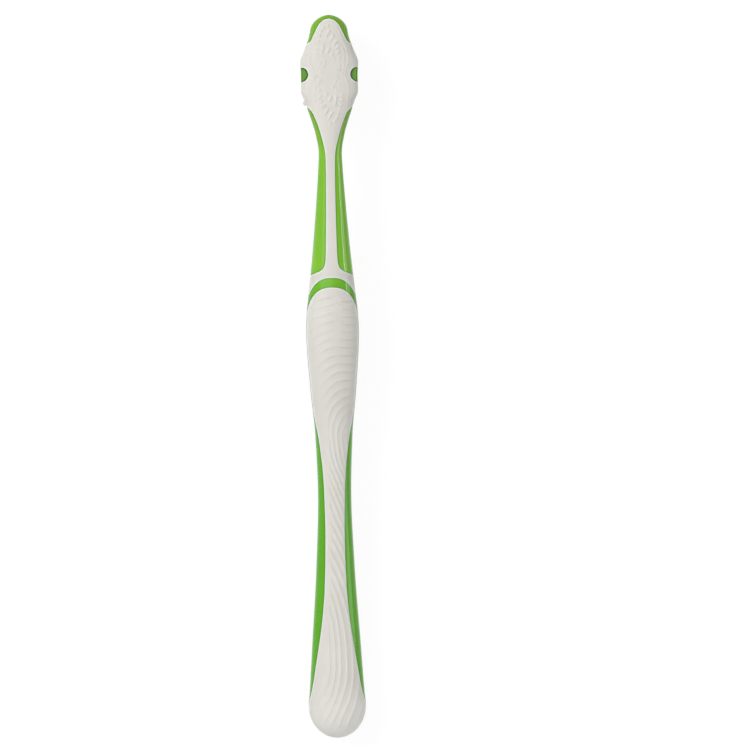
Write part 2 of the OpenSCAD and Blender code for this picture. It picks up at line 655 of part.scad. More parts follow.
// One tuft: two rings of bristle strands that stand out of a root folded under its anchor
module tuft(x, y, drop) {
    difference() {
        translate([x, y, tuft_l])
            cylinder(h = hole_depth, d = root_d, $fn = round_fn);
        anchor(x, y);
    }
    for (ring_of = [[inner_strands, inner_ring_share], [outer_strands, outer_ring_share]], i = [1:ring_of[0]])
        strand(x, y, 360 * i / ring_of[0], ring_of[1] * (root_d - strand_d) / 2, drop);
}

module strand(x, y, angle, r, drop) {
    translate([x + r * cos(angle), y + r * sin(angle), drop])
        rotate([0, 0, angle])
            cylinder(h = tuft_l - drop + strand_d, d = strand_d, $fn = strand_sides);
}

module tuft_row(row) {
    color(nylon)
        for (x = row_xs(row))
            tuft(x, row_y(row), is_short(row, x) * middle_drop);
}

module tuft_anchors() {
    color(brass)
        for (row = [0:len(row_counts) - 1], x = row_xs(row))
            anchor(x, row_y(row));
}

// Hard lobes that fill the windows, under the level of the rubber
module window_lobes() {
    for (side = [-1, 1])
        intersection() {
            translate([side * window_x, window_y, tuft_l + edge_rim])
                cylinder(h = head_t - rubber_t - window_depth, r = window_r - lobe_fit, $fn = round_fn);
            translate([-window_x, window_y - window_r, tuft_l])
                cube([2 * window_x, 2 * window_r, head_t]);
        }
}

module handle_core() {
    color(green)
        difference() {
            union() {
                skin(core_rings);
                window_lobes();
            }
            for (row = [0:len(row_counts) - 1], x = row_xs(row))
                tuft_hole(x, row_y(row));
            for (side = [-1, 1], f = fin_shares)
                fin_notch(side, f[0]);
        }
}

module front_grip() {
    color(white) skin(front_grip_rings);
}

module rear_grip() {
    color(white) skin(grip_rings);
}

handle_core();
head_cover();
front_grip();
rear_grip();
tuft_row(0);  // tuft_row_1
tuft_row(1);  // tuft_row_2
tuft_row(2);  // tuft_row_3
tuft_row(3);  // tuft_row_4
tuft_row(4);  // tuft_row_5
tuft_row(5);  // tuft_row_6
tuft_row(6);  // tuft_row_7
tuft_row(7);  // tuft_row_8
tuft_row(8);  // tuft_row_9
tuft_row(9);  // tuft_row_10
tuft_anchors();
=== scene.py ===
import math

import bmesh
import bpy
import numpy as np
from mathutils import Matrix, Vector


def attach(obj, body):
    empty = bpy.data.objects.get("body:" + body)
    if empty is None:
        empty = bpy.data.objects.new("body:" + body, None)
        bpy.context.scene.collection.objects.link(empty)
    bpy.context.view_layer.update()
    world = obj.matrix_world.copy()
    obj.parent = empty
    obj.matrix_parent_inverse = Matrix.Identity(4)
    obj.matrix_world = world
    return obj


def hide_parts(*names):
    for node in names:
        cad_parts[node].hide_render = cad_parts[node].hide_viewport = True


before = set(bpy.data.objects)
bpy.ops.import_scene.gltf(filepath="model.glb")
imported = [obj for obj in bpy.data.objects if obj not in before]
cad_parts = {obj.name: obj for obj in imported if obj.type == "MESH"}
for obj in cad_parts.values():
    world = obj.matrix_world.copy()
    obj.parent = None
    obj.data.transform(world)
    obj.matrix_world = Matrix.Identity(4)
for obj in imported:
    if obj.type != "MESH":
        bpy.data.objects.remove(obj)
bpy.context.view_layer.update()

MM = 0.001

# Sizes in millimetres and shares of them, with the solid model's names and values. Places along
# the brush, s, run from the butt.
handle_l, neck_l, head_l, cap_l, front_pad_l, collar_l = 122, 44, 24.3, 10, 40, 1
butt_w, waist_w, thumb_w, neck_w, head_w = 15.1, 8.8, 13.9, 6.1, 15.24
strip_w, spine_w, band_w = 5.1, 2.4, 2.4
butt_t, waist_t, thumb_t, collar_t, neck_t, head_t = 11.5, 8.8, 12.6, 10.6, 5.2, 4.8
rubber_t, skirt_t = 1.2, 0.9
waist_rise, thumb_rise, collar_rise, neck_rise, tuft_l = 3.8, 3.3, 5.3, 10.3, 10.6
heel_margin, toe_margin, column_pitch, hole_d, middle_drop = 1.82, 2.14, 2.45, 1.7, 1.3
rib_pitch, window_r, window_depth, fin_l, fin_t, fin_w = 2.1, 1.93, 1.0, 6.0, 0.8, 1.3
edge_rim, seam, lobe_fit = 0.15, 0.04, 0.05

butt_round_share, toe_round_share, toe_field_round_share = 0.07, 0.16, 0.2
waist_share, thumb_share, thin_neck_share = 0.525, 0.86, 0.7
leg_end_share, crown_flat_share, toe_start_share, toe_end_share = 0.957, 0.06, 0.69, 0.955
arch_power, arch_base_share, arch_crown_share, collar_bulge_share = 2.5, 0.885, 0.99, 0.15
section_power, head_power, middle_share, head_middle_share = 2.25, 2.8, 0.5, 0.17
flat_start_share, flat_end_share, tuft_face_share, tuft_face_start_share = 0.75, 0.95, 0.86, 0.93
toe_fall_share, deepest_recess_share, skirt_share, window_share = 0.14, 0.45, 0.3, 0.354
short_share = 0.24

# What the solids don't have: the green strips end in points, and the toe's end is rounded
STRIP_TIP_SHARE, THIN_RIM = 0.062, 0.02
TOE_TIP_L, TOE_TIP_SHARE = 1.2, 0.6

brush_l = handle_l + neck_l + head_l
heel_s = handle_l + neck_l
collar_s = handle_l - collar_l
butt_round = butt_round_share * handle_l
toe_round = toe_round_share * head_l
grip_crown_s = collar_s - band_w
collar_crown_s = collar_s + crown_flat_share * band_w
strip_tip_s = STRIP_TIP_SHARE * handle_l
leg_s = leg_end_share * handle_l
front_pad_s = leg_s - front_pad_l
toe_start_s = heel_s + toe_start_share * head_l
toe_end_s = heel_s + toe_end_share * head_l
waist_s, thumb_s = waist_share * handle_l, thumb_share * handle_l
thin_neck_s = handle_l + thin_neck_share * neck_l


def mix(a, b, t):
    return a + (b - a) * t


def rise(value, start, run):
    """0 up to the start, 1 from a run past it, and straight between them."""
    return np.clip((value - start) / run, 0, 1)


def smooth(t):
    """0 to 1, level at both ends."""
    t = np.clip(t, 0, 1)
    return t * t * (3 - 2 * t)


def hump(away, reach):
    """1 at no distance, falling to 0 over about twice this reach."""
    return np.exp(-(away / reach) ** 2)


def round_end(t, power=2.0):
    """1 at 0, falling to 0 at 1 as a circle does, or more squarely at a higher power."""
    t = np.clip(t, 0, 1)
    return (1 - t ** power) ** (1 / power)


def curve(rows, s):
    """A smooth curve through rows of (place, value), the same one as in the solid model."""
    x, v = np.array(rows, float).T
    step = np.diff(v) / np.diff(x)
    slope = np.empty(len(x))
    slope[0], slope[-1] = step[0], step[-1]
    a, b = step[:-1], step[1:]
    total = np.where(a + b == 0, 1, a + b)
    slope[1:-1] = np.where(a * b <= 0, 0, 2 * a * b / total)
    s = np.asarray(s, float)
    i = np.clip(np.searchsorted(x, s, side="right") - 1, 0, len(x) - 2)
    span = x[i + 1] - x[i]
    t = np.clip((s - x[i]) / span, 0, 1)
    u = 1 - t
    return ((v[i] * (1 + 2 * t) + slope[i] * span * t) * u * u
            + (v[i + 1] * (1 + 2 * u) - slope[i + 1] * span * u) * t * t)


def share_rows(start, length, rows, low=0, high=1):
    """Rows for curve from shares: each place of a length, each value of the way to another."""
    return [(start + p * length, mix(low, high, v)) for p, v in rows]


outline_rows = (
    share_rows(0, handle_l, [(0, 1), (0.07, 1), (0.1, 0.905), (0.205, 0.635), (0.369, 0.215),
                             (0.525, 0)], waist_w / 2, butt_w / 2)
    + share_rows(0, handle_l, [(0.656, 0.21), (0.754, 0.645), (0.877, 1)], waist_w / 2, thumb_w / 2)
    + share_rows(0, handle_l, [(0.918, 0.95), (0.959, 0.81)], neck_w / 2, thumb_w / 2)
    + share_rows(handle_l, neck_l, [(0, 0.665), (0.182, 0.456), (0.409, 0.232), (0.636, 0.047),
                                    (0.727, 0)], neck_w / 2, thumb_w / 2)
    + share_rows(handle_l, neck_l, [(0.836, 0.159), (0.932, 0.425), (0.989, 0.61)],
                 neck_w / 2, head_w / 2)
    + share_rows(heel_s, head_l, [(0.041, 0.812), (0.18, 0.984), (0.354, 0.975), (0.486, 1),
                                  (0.613, 0.866), (0.782, 0.68), (1, 0.577)], 0, head_w / 2)
)
front_rows = [(0, 0), (butt_round, 0), (waist_s, waist_rise), (thumb_s, thumb_rise),
              (handle_l, collar_rise), (thin_neck_s, neck_rise),
              (handle_l + tuft_face_start_share * neck_l, tuft_l), (brush_l, tuft_l)]
back_rows = [(0, butt_t), (butt_round, butt_t), (waist_s, waist_rise + waist_t),
             (thumb_s, thumb_rise + thumb_t), (handle_l, collar_rise + collar_t),
             (thin_neck_s, neck_rise + neck_t), (heel_s, tuft_l + head_t),
             (toe_start_s, tuft_l + head_t), (brush_l, tuft_l + head_t * (1 - toe_fall_share))]
middle_rows = [(0, middle_share), (thin_neck_s, middle_share), (heel_s, head_middle_share),
               (brush_l, head_middle_share)]
power_rows = [(0, section_power), (thin_neck_s, section_power), (heel_s, head_power),
              (brush_l, head_power)]
flat_rows = [(0, 0), (handle_l + flat_start_share * neck_l, 0),
             (handle_l + flat_end_share * neck_l, tuft_face_share), (brush_l, tuft_face_share)]
strip_rows = share_rows(0, handle_l, [
    (0.082, 1), (0.114, 0.865), (0.15, 0.75), (0.184, 0.625), (0.218, 0.485), (0.27, 0.29),
    (0.336, 0.12), (0.45, 0), (0.529, 0.11), (0.58, 0.28), (0.615, 0.48), (0.65, 0.69),
    (0.684, 0.93), (0.71, 1), (1, 1)])
spine_rows = share_rows(handle_l, neck_l, [
    (0, 0.95), (0.011, 0.68), (0.023, 0.4), (0.045, 0.19), (0.07, 0.12), (0.11, 0.085),
    (0.25, 0.05), (0.41, 0.02), (0.57, 0), (0.7, 0.03), (0.75, 0.16), (0.79, 0.33),
    (0.857, 0.53), (0.93, 0.69), (0.966, 0.77), (1, 0.95)])
toe_rows = share_rows(heel_s, head_l, [(0.69, 0.76), (0.716, 0.63), (0.745, 0.58), (0.79, 0.52),
                                       (0.85, 0.475), (1, 0.46)], 0, head_w / 2)
front_pad_rows = share_rows(front_pad_s, front_pad_l, [(0, 0.38), (0.06, 0.58), (0.2, 0.72),
                                                       (0.5, 0.78), (0.8, 0.84), (1, 0.97)])


def half_w(s):
    ends = round_end(1 - s / butt_round) * round_end(1 - (brush_l - s) / toe_round)
    return curve(outline_rows, s) * ends


class Section:
    """The brush's section at s: half width, widest line, height over it and depth under it."""

    def __init__(self, s):
        toe_tip = round_end(1 - (brush_l - s) / TOE_TIP_L)
        round_off = round_end(1 - s / butt_round) * mix(TOE_TIP_SHARE, 1, toe_tip)
        front, back = curve(front_rows, s), curve(back_rows, s)
        self.mid = mix(front, back, curve(middle_rows, s))
        self.w = half_w(s)
        self.up = (back - self.mid) * round_off
        self.down = (self.mid - front) * round_off
        self.power = curve(power_rows, s)
        self.flat = self.w * curve(flat_rows, s)

    def bulge(self, x, flat):
        room = np.where(self.w > flat, self.w - flat, 1)
        return np.where(self.w > flat, round_end((np.abs(x) - flat) / room, self.power), 0)

    def back(self, x, depth=0.0):
        """Height of the back at x, or of a recess this deep in it."""
        depth = np.minimum(depth, deepest_recess_share * self.up)
        return self.mid + (self.up - depth) * self.bulge(x, 0)

    def front(self, x, depth=0.0):
        depth = np.minimum(depth, deepest_recess_share * self.down)
        return self.mid - (self.down - depth) * self.bulge(x, self.flat)


# Half widths of the rubber at s, on the back and on the front
MIN_HALF = 0.01


def arch(s, crown_s, half):
    base = arch_base_share * handle_l
    return half * round_end((s - base) / (crown_s - base), arch_power)


def rear_half(s):
    rim = edge_rim * np.clip((s - strip_tip_s) / (cap_l - strip_tip_s), THIN_RIM, 1)
    strip = mix(strip_w / 2, half_w(s) - rim, curve(strip_rows, s))
    crown = arch(s, grip_crown_s, arch_crown_share * thumb_w / 2)
    return strip if s < waist_s else min(strip, crown)


def collar_half(s):
    half = arch_crown_share * thumb_w / 2 + collar_bulge_share * band_w
    return max(min(arch(s, collar_crown_s, half), half_w(s) - edge_rim), MIN_HALF)


def spine_half(s):
    return mix(spine_w / 2, half_w(s), curve(spine_rows, s))


def toe_half(s):
    crown = round_end(1 - (toe_end_s - s) / (toe_field_round_share * head_l))
    return min(curve(toe_rows, s), half_w(s) - edge_rim) * crown


def front_half(s):
    return half_w(s) * curve(front_pad_rows, s)


def wraps(zone):
    """Whether the rubber on the back goes on round the brush's sides."""
    return zone in ("cap", "belt", "hood")


def rear_edge(zone, s):
    """Half width of the recess for the rubber on the back."""
    if zone == "spine":
        return float(spine_half(s))
    if zone == "toe":
        return float(toe_half(s)) if s < toe_end_s else 0.0
    if zone in ("pad", "pad_front", "leg"):
        return float(rear_half(s)) if s < grip_crown_s else 0.0
    return float(half_w(s) - min(skirt_t, half_w(s) * skirt_share))


def rear_recess(zone, s):
    """Depth of that recess."""
    ended = (zone == "leg" and s >= grip_crown_s) or (zone == "toe" and s >= toe_end_s)
    return 0.0 if ended else rubber_t


def core_side(zone, s):
    """Half width of the core under the front grip's sides."""
    side = half_w(s) - skirt_t
    return max(side, collar_half(s)) if zone == "leg" else side


# Stations along the brush. A zone says what the rubber does there.
SPINE_FLARE_L = 3


def places(a, b, step, ease=None):
    """Places from a to b, crowded at the start or at the end if that is said."""
    t = np.linspace(0, 1, max(2, int(round((b - a) / step)) + 1))
    if ease == "start":
        t = 1 - np.cos(t * math.pi / 2)
    if ease == "end":
        t = np.sin(t * math.pi / 2)
    return [float(a + (b - a) * v) for v in t]


def stations(step, *zones):
    """(zone, place) all along these zones."""
    flare_s = handle_l + SPINE_FLARE_L
    along = {
        "cap": places(0, strip_tip_s, step, "start"),
        "pad": places(strip_tip_s + seam, front_pad_s, step),
        "pad_front": places(front_pad_s + seam, leg_s, step),
        "leg": places(leg_s + seam, grip_crown_s, step / 2, "end")
        + places(grip_crown_s, collar_crown_s, step / 3, "end")[1:],
        "belt": places(collar_crown_s, handle_l, step / 2),
        "spine": places(handle_l + seam, flare_s, step / 3) + places(flare_s, heel_s, step)[1:],
        "hood": places(heel_s + seam, toe_start_s, step),
        "toe": places(toe_start_s + seam, toe_end_s, step / 2, "end")
        + places(toe_end_s, brush_l, step / 3, "end")[1:],
    }
    return [(zone, s) for zone in zones for s in along[zone]]


def y_of(s):
    return s - brush_l / 2


# Meshes from rings of points (x, y, z, painted shading). The painted shading is painted shade on
# the green, darkening it along its borders with the rubber, at its outer sides and on the window
# discs, and a painted highlight on the rubber, brightening its thin rims and its butt end. Points
# this near are one, in metres.
SAME_PLACE = 1e-7


def link_new(name, data):
    obj = bpy.data.objects.new(name, data)
    bpy.context.scene.collection.objects.link(obj)
    return obj


def mesh_object(name, verts, faces, sharp):
    """A closed smooth mesh, with its edges sharp from this angle in degrees."""
    mesh = bpy.data.meshes.new(name)
    bm = bmesh.new()
    # Each point's share of painted shading: painted shade on the green, a painted highlight on the
    # rubber
    painted_shading = bm.verts.layers.float.new("painted_shading")
    made = [bm.verts.new([float(c) * MM for c in v[:3]]) for v in verts]
    for vert, v in zip(made, verts):
        vert[painted_shading] = float(v[3])
    for f in faces:
        bm.faces.new([made[i] for i in f])
    bmesh.ops.remove_doubles(bm, verts=bm.verts, dist=SAME_PLACE)
    bmesh.ops.dissolve_degenerate(bm, edges=bm.edges, dist=SAME_PLACE)
    bmesh.ops.recalc_face_normals(bm, faces=bm.faces)
    for f in bm.faces:
        f.smooth = True
    for e in bm.edges:
        if len(e.link_faces) == 2:
            e.smooth = e.calc_face_angle(0) < math.radians(sharp)
    bm.to_mesh(mesh)
    bm.free()
    return link_new(name, mesh)


def add_skin(verts, faces, rings):
    """Adds a closed skin over rings that have the same number of points."""
    n, start = len(rings[0]), len(verts)
    verts += [p for r in rings for p in r]
    for r in range(len(rings) - 1):
        for i in range(n):
            a, b = start + r * n + i, start + r * n + (i + 1) % n
            faces.append((a, b, b + n, a + n))
    faces.append(tuple(range(start + n - 1, start - 1, -1)))
    faces.append(tuple(range(len(verts) - n, len(verts))))


def skin_object(name, rings, sharp=50):
    verts, faces = [], []
    add_skin(verts, faces, rings)
    return mesh_object(name, verts, faces, sharp)


def ring(half, s):
    """A ring from points (x, z, painted shading) of its right half."""
    y = y_of(s)
    right = [(x, y, z, painted_shading) for x, z, painted_shading in half]
    return right + [(-x, y, z, painted_shading) for x, z, painted_shading in half[-2:0:-1]]


def border_points(step=0.1):
    """Places (s, x) all along the lines where the rubber meets the hard plastic."""
    spots = []
    for edge_of, a, b, ease in ((rear_half, strip_tip_s, grip_crown_s, "end"),
                                (collar_half, leg_s, collar_crown_s, "end"),
                                (spine_half, handle_l + seam, heel_s, None),
                                (toe_half, toe_start_s, toe_end_s, "end")):
        line = [(s, float(edge_of(s))) for s in places(a, b, step, ease)]
        for (s0, x0), (s1, x1) in zip(line[:-1], line[1:]):
            n = max(1, int(math.hypot(s1 - s0, x1 - x0) / step))
            spots += [(mix(s0, s1, k / n), mix(x0, x1, k / n)) for k in range(n)]
    spots += [(handle_l, mix(spine_half(handle_l), half_w(handle_l), k / 10)) for k in range(10)]
    return np.array(spots)


BORDER = border_points()
# How far the painted highlight on the rubber's rims reaches, how far the painted shade on the green
# along its borders with the rubber reaches and how dark it is, and the same for the painted shade
# at the green's outer sides
PAINTED_RIM_HIGHLIGHT_REACH = 0.26
PAINTED_BORDER_SHADE_REACH, PAINTED_BORDER_SHADE_SHARE = 0.25, 0.7
PAINTED_SIDE_SHADE_REACH, PAINTED_SIDE_SHADE_SHARE = 0.16, 0.45


def near_border(s, x, reach):
    """1 on a border between rubber and plastic, falling to 0 over this reach, for a list of x."""
    x = np.abs(np.asarray(x, float))
    close = BORDER[np.abs(BORDER[:, 0] - s) < 1.0]
    if not len(close):
        return np.zeros_like(x)
    away = np.hypot(close[:, 0][None, :] - s, close[:, 1][None, :] - x[:, None]).min(axis=1)
    return hump(away, reach)


# The hard core, with its points crowded towards its sides
FRONT_STEPS = np.sin(np.linspace(0, 1, 15) * math.pi / 2)
BACK_STEPS = 1 - np.cos(np.linspace(0, 1, 13) * math.pi / 2)
FLOOR_SHARES = (0.0, 0.4, 0.7, 1.0)
FRONT_PLAIN_SHARE = 0.35


def core_half(zone, s):
    """The right half of the core's ring, from the middle of its front to that of its back."""
    c = Section(s)
    side = core_side(zone, s)
    edge, recess = rear_edge(zone, s), rear_recess(zone, s)
    if zone in ("leg", "belt"):
        points = [(x * side, c.front(x * side, rubber_t)) for x in FLOOR_SHARES]
        points += points[-1:] * len(FRONT_STEPS)
    else:
        pad = zone == "pad_front"
        half = front_half(s) if pad else max(FRONT_PLAIN_SHARE * c.w, c.flat)
        points = [(x * half, c.front(x * half, rubber_t if pad else 0)) for x in FLOOR_SHARES]
        points += [(x, c.front(x)) for x in mix(half, c.w, FRONT_STEPS)]
    if zone == "leg":
        top = min(collar_half(s), side)
        points += [(x, c.back(x, rubber_t)) for x in (side, top)]
        points += [(x, c.back(x)) for x in np.linspace(top, edge, len(BACK_STEPS) - 2)]
    elif wraps(zone):
        points += [(edge, c.mid)] + [(edge, c.back(edge, recess))] * (len(BACK_STEPS) - 1)
    else:
        points += [(x, c.back(x)) for x in mix(c.w, edge, BACK_STEPS)]
    points += [(x * edge, c.back(x * edge, recess)) for x in FLOOR_SHARES[::-1]]
    x, z = np.array(points, float).T
    # Painted shade: the green darkened along its borders with the rubber and at its outer sides
    painted_border_shade = np.where(z >= c.mid, PAINTED_BORDER_SHADE_SHARE * near_border(s, x, PAINTED_BORDER_SHADE_REACH), 0)
    return list(zip(x, z, np.minimum(1, painted_border_shade + PAINTED_SIDE_SHADE_SHARE * hump(c.w - x, PAINTED_SIDE_SHADE_REACH))))


# The hard half discs that fill the windows of the head. They stand higher than in the solid model,
# and their edges are rounded: each level is (how far under the top, how far in, painted shading).
# Painted shade darkens their walls and rounded edges and fades out on their tops.
window_s = heel_s + window_share * head_l
window_x, window_y = float(half_w(window_s)), y_of(window_s)
LOBE_RISE = 0.37
lobe_foot_z = tuft_l + edge_rim
lobe_top_z = lobe_foot_z + head_t - rubber_t - window_depth + LOBE_RISE
LOBE_LEVELS = [(lobe_top_z - lobe_foot_z, 0.0, 1), (0.3, 0.0, 1), (0.12, 0.05, 1), (0.03, 0.15, 1),
               (0, 0.32, 1), (0, 0.5, 0)]
LOBE_POINTS = 40


def add_lobes(verts, faces):
    for side in (-1, 1):
        rings = []
        for under, inset, painted_shading in LOBE_LEVELS:
            r = window_r - lobe_fit - inset
            turn = math.acos(min(1, inset / r))
            rings.append([(side * (window_x - r * math.cos(a)), window_y + r * math.sin(a),
                           lobe_top_z - under, painted_shading)
                          for a in np.linspace(-turn, turn, LOBE_POINTS)])
        add_skin(verts, faces, rings)


def build_core():
    verts, faces = [], []
    zones = ("cap", "pad", "pad_front", "leg", "belt", "spine", "hood", "toe")
    add_skin(verts, faces, [ring(core_half(z, s), s) for z, s in stations(0.5, *zones)])
    add_lobes(verts, faces)
    return mesh_object("core_body", verts, faces, sharp=32)


# Edge profile of a rubber piece: it stands a little proud, and rounds down into a fine groove
PROUD, LIP, SINK = 0.05, 0.26, 0.07


def lip(distance):
    """Height over the section of rubber at this distance in from its edge."""
    t = np.clip(distance / LIP, 0, 1)
    return -SINK + (SINK + PROUD) * np.sqrt(1 - (1 - t) ** 2)


# Ribs of the rear grip, along lines of equal phase, with the solid model's shares
swirl_s, swirl_x = 0.648 * handle_l, 0.36 * thumb_w
swirl_reach, rib_squeeze_share = 0.254 * handle_l, 0.571
squeeze_rows = [(0, 0), (0.35, 0.08), (0.68, 0.5), (1, 1)]
turn_rows = share_rows(0, handle_l, [
    (0, 10.7), (0.041, 11.6), (0.09, 12.6), (0.139, 13.05), (0.189, 12.9), (0.238, 12.5),
    (0.287, 11.7), (0.336, 10.5), (0.41, 8.2), (0.484, 5.3), (0.557, 2.3), (0.607, 0.5),
    (0.648, 0)])
spread_rows = share_rows(0, handle_l, [
    (0, 1.9), (0.065, 1.65), (0.115, 1.41), (0.164, 1.28), (0.25, 1.22), (0.4, 1.25),
    (0.46, 1.2), (0.51, 1.05), (0.57, 0.98), (0.648, 1)])
margin_rows = share_rows(0, handle_l, [
    (0, 0.25), (0.1, 0.3), (0.3, 0.25), (0.5, 0.25), (0.6, 0.32), (0.66, 0.5), (0.69, 0.55),
    (0.73, 0.42), (0.78, 0.38), (0.82, 0.28), (0.88, 0.1), (0.96, 0.08)])

# How high the ribs are at places along the grip, and how narrow a ridge of theirs is
RIB_RISE = [(0, 0.15), (20, 0.16), (30, 0.17), (40, 0.24), (65, 0.24), (74, 0.15), (82, 0.12),
            (90, 0.13), (115, 0.16)]
RIDGE = 0.24
# Where the crest of a rib lies in its turn, at these places along the grip, for shares of the half
# width across it
CREST_AT = [20, 30, 40, 50, 60, 67, 77, 82, 87, 92, 97, 102, 107, 112]
CREST = [(-0.62, [.50, .48, .52, .40, .45, .55, .45, .65, 1.0, 1.08, 1.0, .90, .78, .82]),
         (-0.22, [.45, .47, .55, .50, .45, .49, .46, .66, .92, .96, .95, .93, .88, .88]),
         (0.0, [.48, .48, .47, .40, .40, .46, .48, .62, .77, .81, .83, .84, .88, .95]),
         (0.18, [.55, .55, .45, .36, .38, .45, .48, .52, .60, .70, .77, .80, .85, .94]),
         (0.38, [.45, .43, .38, .35, .35, .45, .50, .46, .48, .55, .60, .59, .51, .32]),
         (0.62, [.40, .40, .30, .28, .28, .35, .45, .38, .36, .38, .42, .46, .38, .20])]
# Over what lengths the ribs fade at the left and the right edge and at the butt
LEFT_FADE, RIGHT_FADE, BUTT_FADE, BUTT_PLAIN = 0.9, 0.5, 4, 1
# They are nearly flat right of the middle on the upper thumb grip, from a place on over a run
DIP_SHARE, DIP_X, DIP_REACH, DIP_S, DIP_RUN = 0.75, 0.9, 1.1, 100, 6
# They stand out on the right flank, from x on over a run: near the butt, and on the thumb grip
FLANK_X, FLANK_RUN = 1.5, 3
BUTT_GAIN, BUTT_GAIN_S, BUTT_GAIN_RUN = 0.5, 26, -6
THUMB_GAIN, THUMB_GAIN_S, THUMB_GAIN_RUN = 1.6, 86, 8


def rib_turns(s, x):
    """How many turns of the pattern lie between its centre and points at s, and its pitch there."""
    if s > swirl_s:
        oval = mix(1 / rib_squeeze_share, 1, curve(squeeze_rows, (s - swirl_s) / swirl_reach))
        return np.hypot(s - swirl_s, (swirl_x - x) * oval) / rib_pitch, rib_pitch
    pitch = rib_squeeze_share * rib_pitch * curve(spread_rows, s)
    return curve(turn_rows, s) + (swirl_x - x) / pitch, pitch


def rib_height(s, x, edge):
    """Height of the ribs over points at s: a narrow ridge on each turn."""
    turns, pitch = rib_turns(s, x)
    crest = [float(curve(list(zip(CREST_AT, row)), s)) for _, row in CREST]
    away = turns - np.interp(x / max(half_w(s), MIN_HALF), [share for share, _ in CREST], crest)
    ridge = hump((away - np.round(away)) * pitch, RIDGE * pitch ** 0.5)
    margin = edge * curve(margin_rows, s)
    sides = np.minimum((x + edge - margin) / LEFT_FADE, (edge - x) / RIGHT_FADE)
    ends = min((s - BUTT_PLAIN) / BUTT_FADE, (grip_crown_s - s) / rib_pitch)
    dip = 1 - DIP_SHARE * hump(x - DIP_X, DIP_REACH) * rise(s, DIP_S, DIP_RUN)
    gain = (BUTT_GAIN * rise(s, BUTT_GAIN_S, BUTT_GAIN_RUN)
            + THUMB_GAIN * rise(s, THUMB_GAIN_S, THUMB_GAIN_RUN))
    flank = 1 + gain * rise(x, FLANK_X, FLANK_RUN)
    return curve(RIB_RISE, s) * smooth(np.minimum(sides, ends)) * dip * flank * ridge


# The rubber pieces on the back
GRIP_COLUMNS, COVER_COLUMNS = 84, 96
# Over what length the rear grip's edges grow out of the plain cap
CAP_BLEND = 3
# Painted light that brightens the rubber towards the butt: how much, up to which place, and over
# what run
BUTT_PAINTED_LIGHT, BUTT_PAINTED_LIGHT_S, BUTT_PAINTED_LIGHT_RUN = 0.3, 12, -10
# How much of the neck has rings as close together as the head's
FINE_NECK_L = 10


def rear_chain(zone, s):
    """Points (x, z) from the middle of the recess out to the edge of the rubber's top."""
    c = Section(s)
    edge, depth = rear_edge(zone, s), rear_recess(zone, s)
    low = [(x * edge, float(c.back(x * edge, depth))) for x in FLOOR_SHARES]
    if wraps(zone):
        return low + [(edge, c.mid), (c.w, c.mid)]
    return low + [(edge, c.back(edge, depth / 2)), (edge, c.back(edge) - SINK)]


def edge_spread(edge, columns):
    """Places across a rubber piece, close together on its rounded edges."""
    near = min(LIP, 0.25 * edge)
    rim = edge - near * np.array([0, 0.03, 0.12, 0.3, 0.6, 1.0])
    inner = np.linspace(edge - near, near - edge, columns)[1:-1]
    return np.concatenate([rim, inner, -rim[::-1]])


def rubber_ring(chain, x, z, s, painted_shading_values):
    """A ring round the recess and over the top at points (x, z)."""
    y = y_of(s)
    return ([(a, y, b, 0) for a, b in chain] + [(a, y, b, t) for a, b, t in zip(x, z, painted_shading_values)]
            + [(-a, y, b, 0) for a, b in chain[:0:-1]])


def rear_grip_rings():
    rings = []
    for zone, s in stations(0.16, "cap", "pad", "pad_front", "leg"):
        if s > grip_crown_s:
            continue
        chain = rear_chain(zone, s)
        edge = chain[-1][0]
        x = edge_spread(edge, GRIP_COLUMNS)
        top = PROUD * min(1, s / butt_round)
        if not wraps(zone):
            share = min(1, edge / LIP, max(0, (s - strip_tip_s) / CAP_BLEND))
            top = mix(top, lip(edge - np.abs(x)), share)
        # Painted light at the butt end, and a painted highlight along the rubber's rims
        glow = BUTT_PAINTED_LIGHT * rise(s, BUTT_PAINTED_LIGHT_S, BUTT_PAINTED_LIGHT_RUN)
        rings.append(rubber_ring(chain, x, Section(s).back(x) + rib_height(s, x, edge) + top, s,
                                 np.maximum(near_border(s, x, PAINTED_RIM_HIGHLIGHT_REACH), glow)))
    return rings


